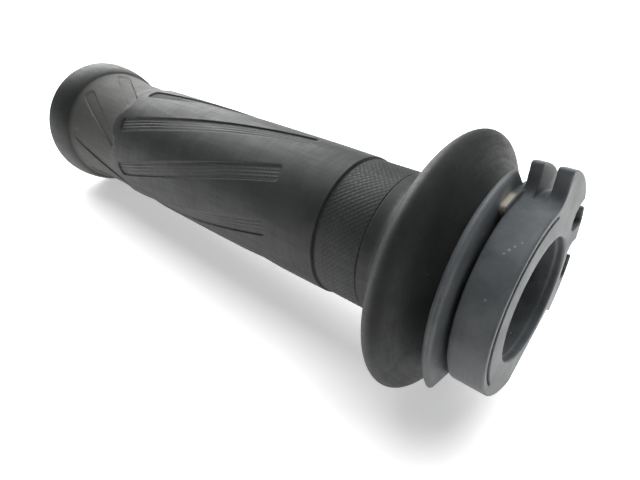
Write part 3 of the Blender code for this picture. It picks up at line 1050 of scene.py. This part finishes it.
def make_floor():
    """A pale sheet that the ring and the end bead rest on."""
    up = Vector((sin(radians(TILT)), 0.0, cos(radians(TILT))))
    work = bmesh.new()
    bmesh.ops.create_grid(work, x_segments=1, y_segments=1, size=2.5)
    mesh = bpy.data.meshes.new("floor")
    work.to_mesh(mesh)
    work.free()
    slant = up.to_track_quat("Z", "Y").to_matrix().to_4x4()
    mesh.transform(Matrix.Translation(up * -FLOOR_DEPTH * MM) @ slant)
    mesh.materials.append(paper())
    floor = bpy.data.objects.new("floor", mesh)
    bpy.context.scene.collection.objects.link(floor)


def area_light(name, place, aim, size, power, glossy=True):
    """A square lamp. One that isn't glossy lights surfaces without showing in their shine."""
    lamp = bpy.data.lights.new(name, "AREA")
    lamp.energy = power
    lamp.shape = "SQUARE"
    lamp.size = size
    obj = bpy.data.objects.new(name, lamp)
    bpy.context.scene.collection.objects.link(obj)
    obj.location = place
    obj.rotation_euler = (Vector(aim) - Vector(place)).to_track_quat("-Z", "Y").to_euler()
    obj.visible_glossy = glossy


def make_light():
    """A bright side behind the grip, a dim side round the camera, one soft key light and a wide fill.

    The camera itself sees plain white behind everything.
    """
    world = bpy.data.worlds.new("studio")
    bpy.context.scene.world = world
    world.use_nodes = True
    tree = world.node_tree
    place = tree.nodes.new("ShaderNodeTexCoord").outputs["Generated"]
    toward = tree.nodes.new("ShaderNodeVectorMath")
    toward.operation = "DOT_PRODUCT"
    toward.inputs[1].default_value = Vector(BRIGHT_SIDE).normalized()
    tree.links.new(place, toward.inputs[0])
    level = tree.nodes.new("ShaderNodeMapRange")
    level.interpolation_type = "SMOOTHSTEP"
    level.inputs["From Min"].default_value = -0.2
    level.inputs["From Max"].default_value = 0.9
    level.inputs["To Min"].default_value = DIM_LEVEL
    level.inputs["To Max"].default_value = BRIGHT_LEVEL
    tree.links.new(toward.outputs["Value"], level.inputs["Value"])
    seen = tree.nodes.new("ShaderNodeLightPath").outputs["Is Camera Ray"]
    shown = tree.nodes.new("ShaderNodeMath")
    shown.operation = "MAXIMUM"
    tree.links.new(seen, shown.inputs[0])
    tree.links.new(level.outputs["Result"], shown.inputs[1])
    background = tree.nodes["Background"]
    background.inputs["Color"].default_value = (0.97, 0.985, 1.0, 1.0)
    tree.links.new(shown.outputs["Value"], background.inputs["Strength"])
    area_light("softbox", SOFTBOX, LIGHT_AIM, SOFTBOX_SIZE, SOFTBOX_POWER)
    area_light("fill", FILL, LIGHT_AIM, FILL_SIZE, FILL_POWER, glossy=False)


def make_flag():
    """A dark card on the floor, just outside the view on the camera's side, that only reflections see."""
    work = bmesh.new()
    corners = [work.verts.new(Vector((x, y, FLAG_HEIGHT)) * MM) for x, y in FLAG]
    work.faces.new(corners)
    mesh = bpy.data.meshes.new("flag")
    work.to_mesh(mesh)
    work.free()
    nodes = Nodes("flag")
    nodes.shader.inputs["Base Color"].default_value = colour(0.03, 0.03, 0.03)
    nodes.shader.inputs["Roughness"].default_value = 0.9
    mesh.materials.append(nodes.material)
    flag = bpy.data.objects.new("flag", mesh)
    bpy.context.scene.collection.objects.link(flag)
    flag.visible_camera = False
    flag.visible_shadow = False
    flag.visible_diffuse = False


CAMERA = Vector((16.15, -69.417, 57.119))
CAMERA_TURN = (54.258, 2.521, 41.429)
LENS = 27.755
SHIFT = (-0.00076, 0.01725)


def make_camera():
    """Close to the drum end, looking down along the grip."""
    camera = bpy.data.cameras.new("camera")
    camera.sensor_width = 36.0
    camera.lens = LENS
    camera.shift_x, camera.shift_y = SHIFT
    camera.clip_start = 0.005
    obj = bpy.data.objects.new("camera", camera)
    bpy.context.scene.collection.objects.link(obj)
    turn = Euler([radians(angle) for angle in CAMERA_TURN]).to_matrix()
    obj.matrix_world = Matrix.Translation(CAMERA * MM) @ turn.to_4x4()
    bpy.context.scene.camera = obj


make_camera()
make_light()
make_floor()
make_flag()
bpy.context.scene.view_settings.view_transform = "Standard"

sleeve = make_sleeve()
sleeve.data.materials.append(rubber())
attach(sleeve, "root")
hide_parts("rubber_grip")

tube = make_tube()
tube.data.materials.append(plastic())
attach(tube, "root")
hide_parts("throttle_tube")
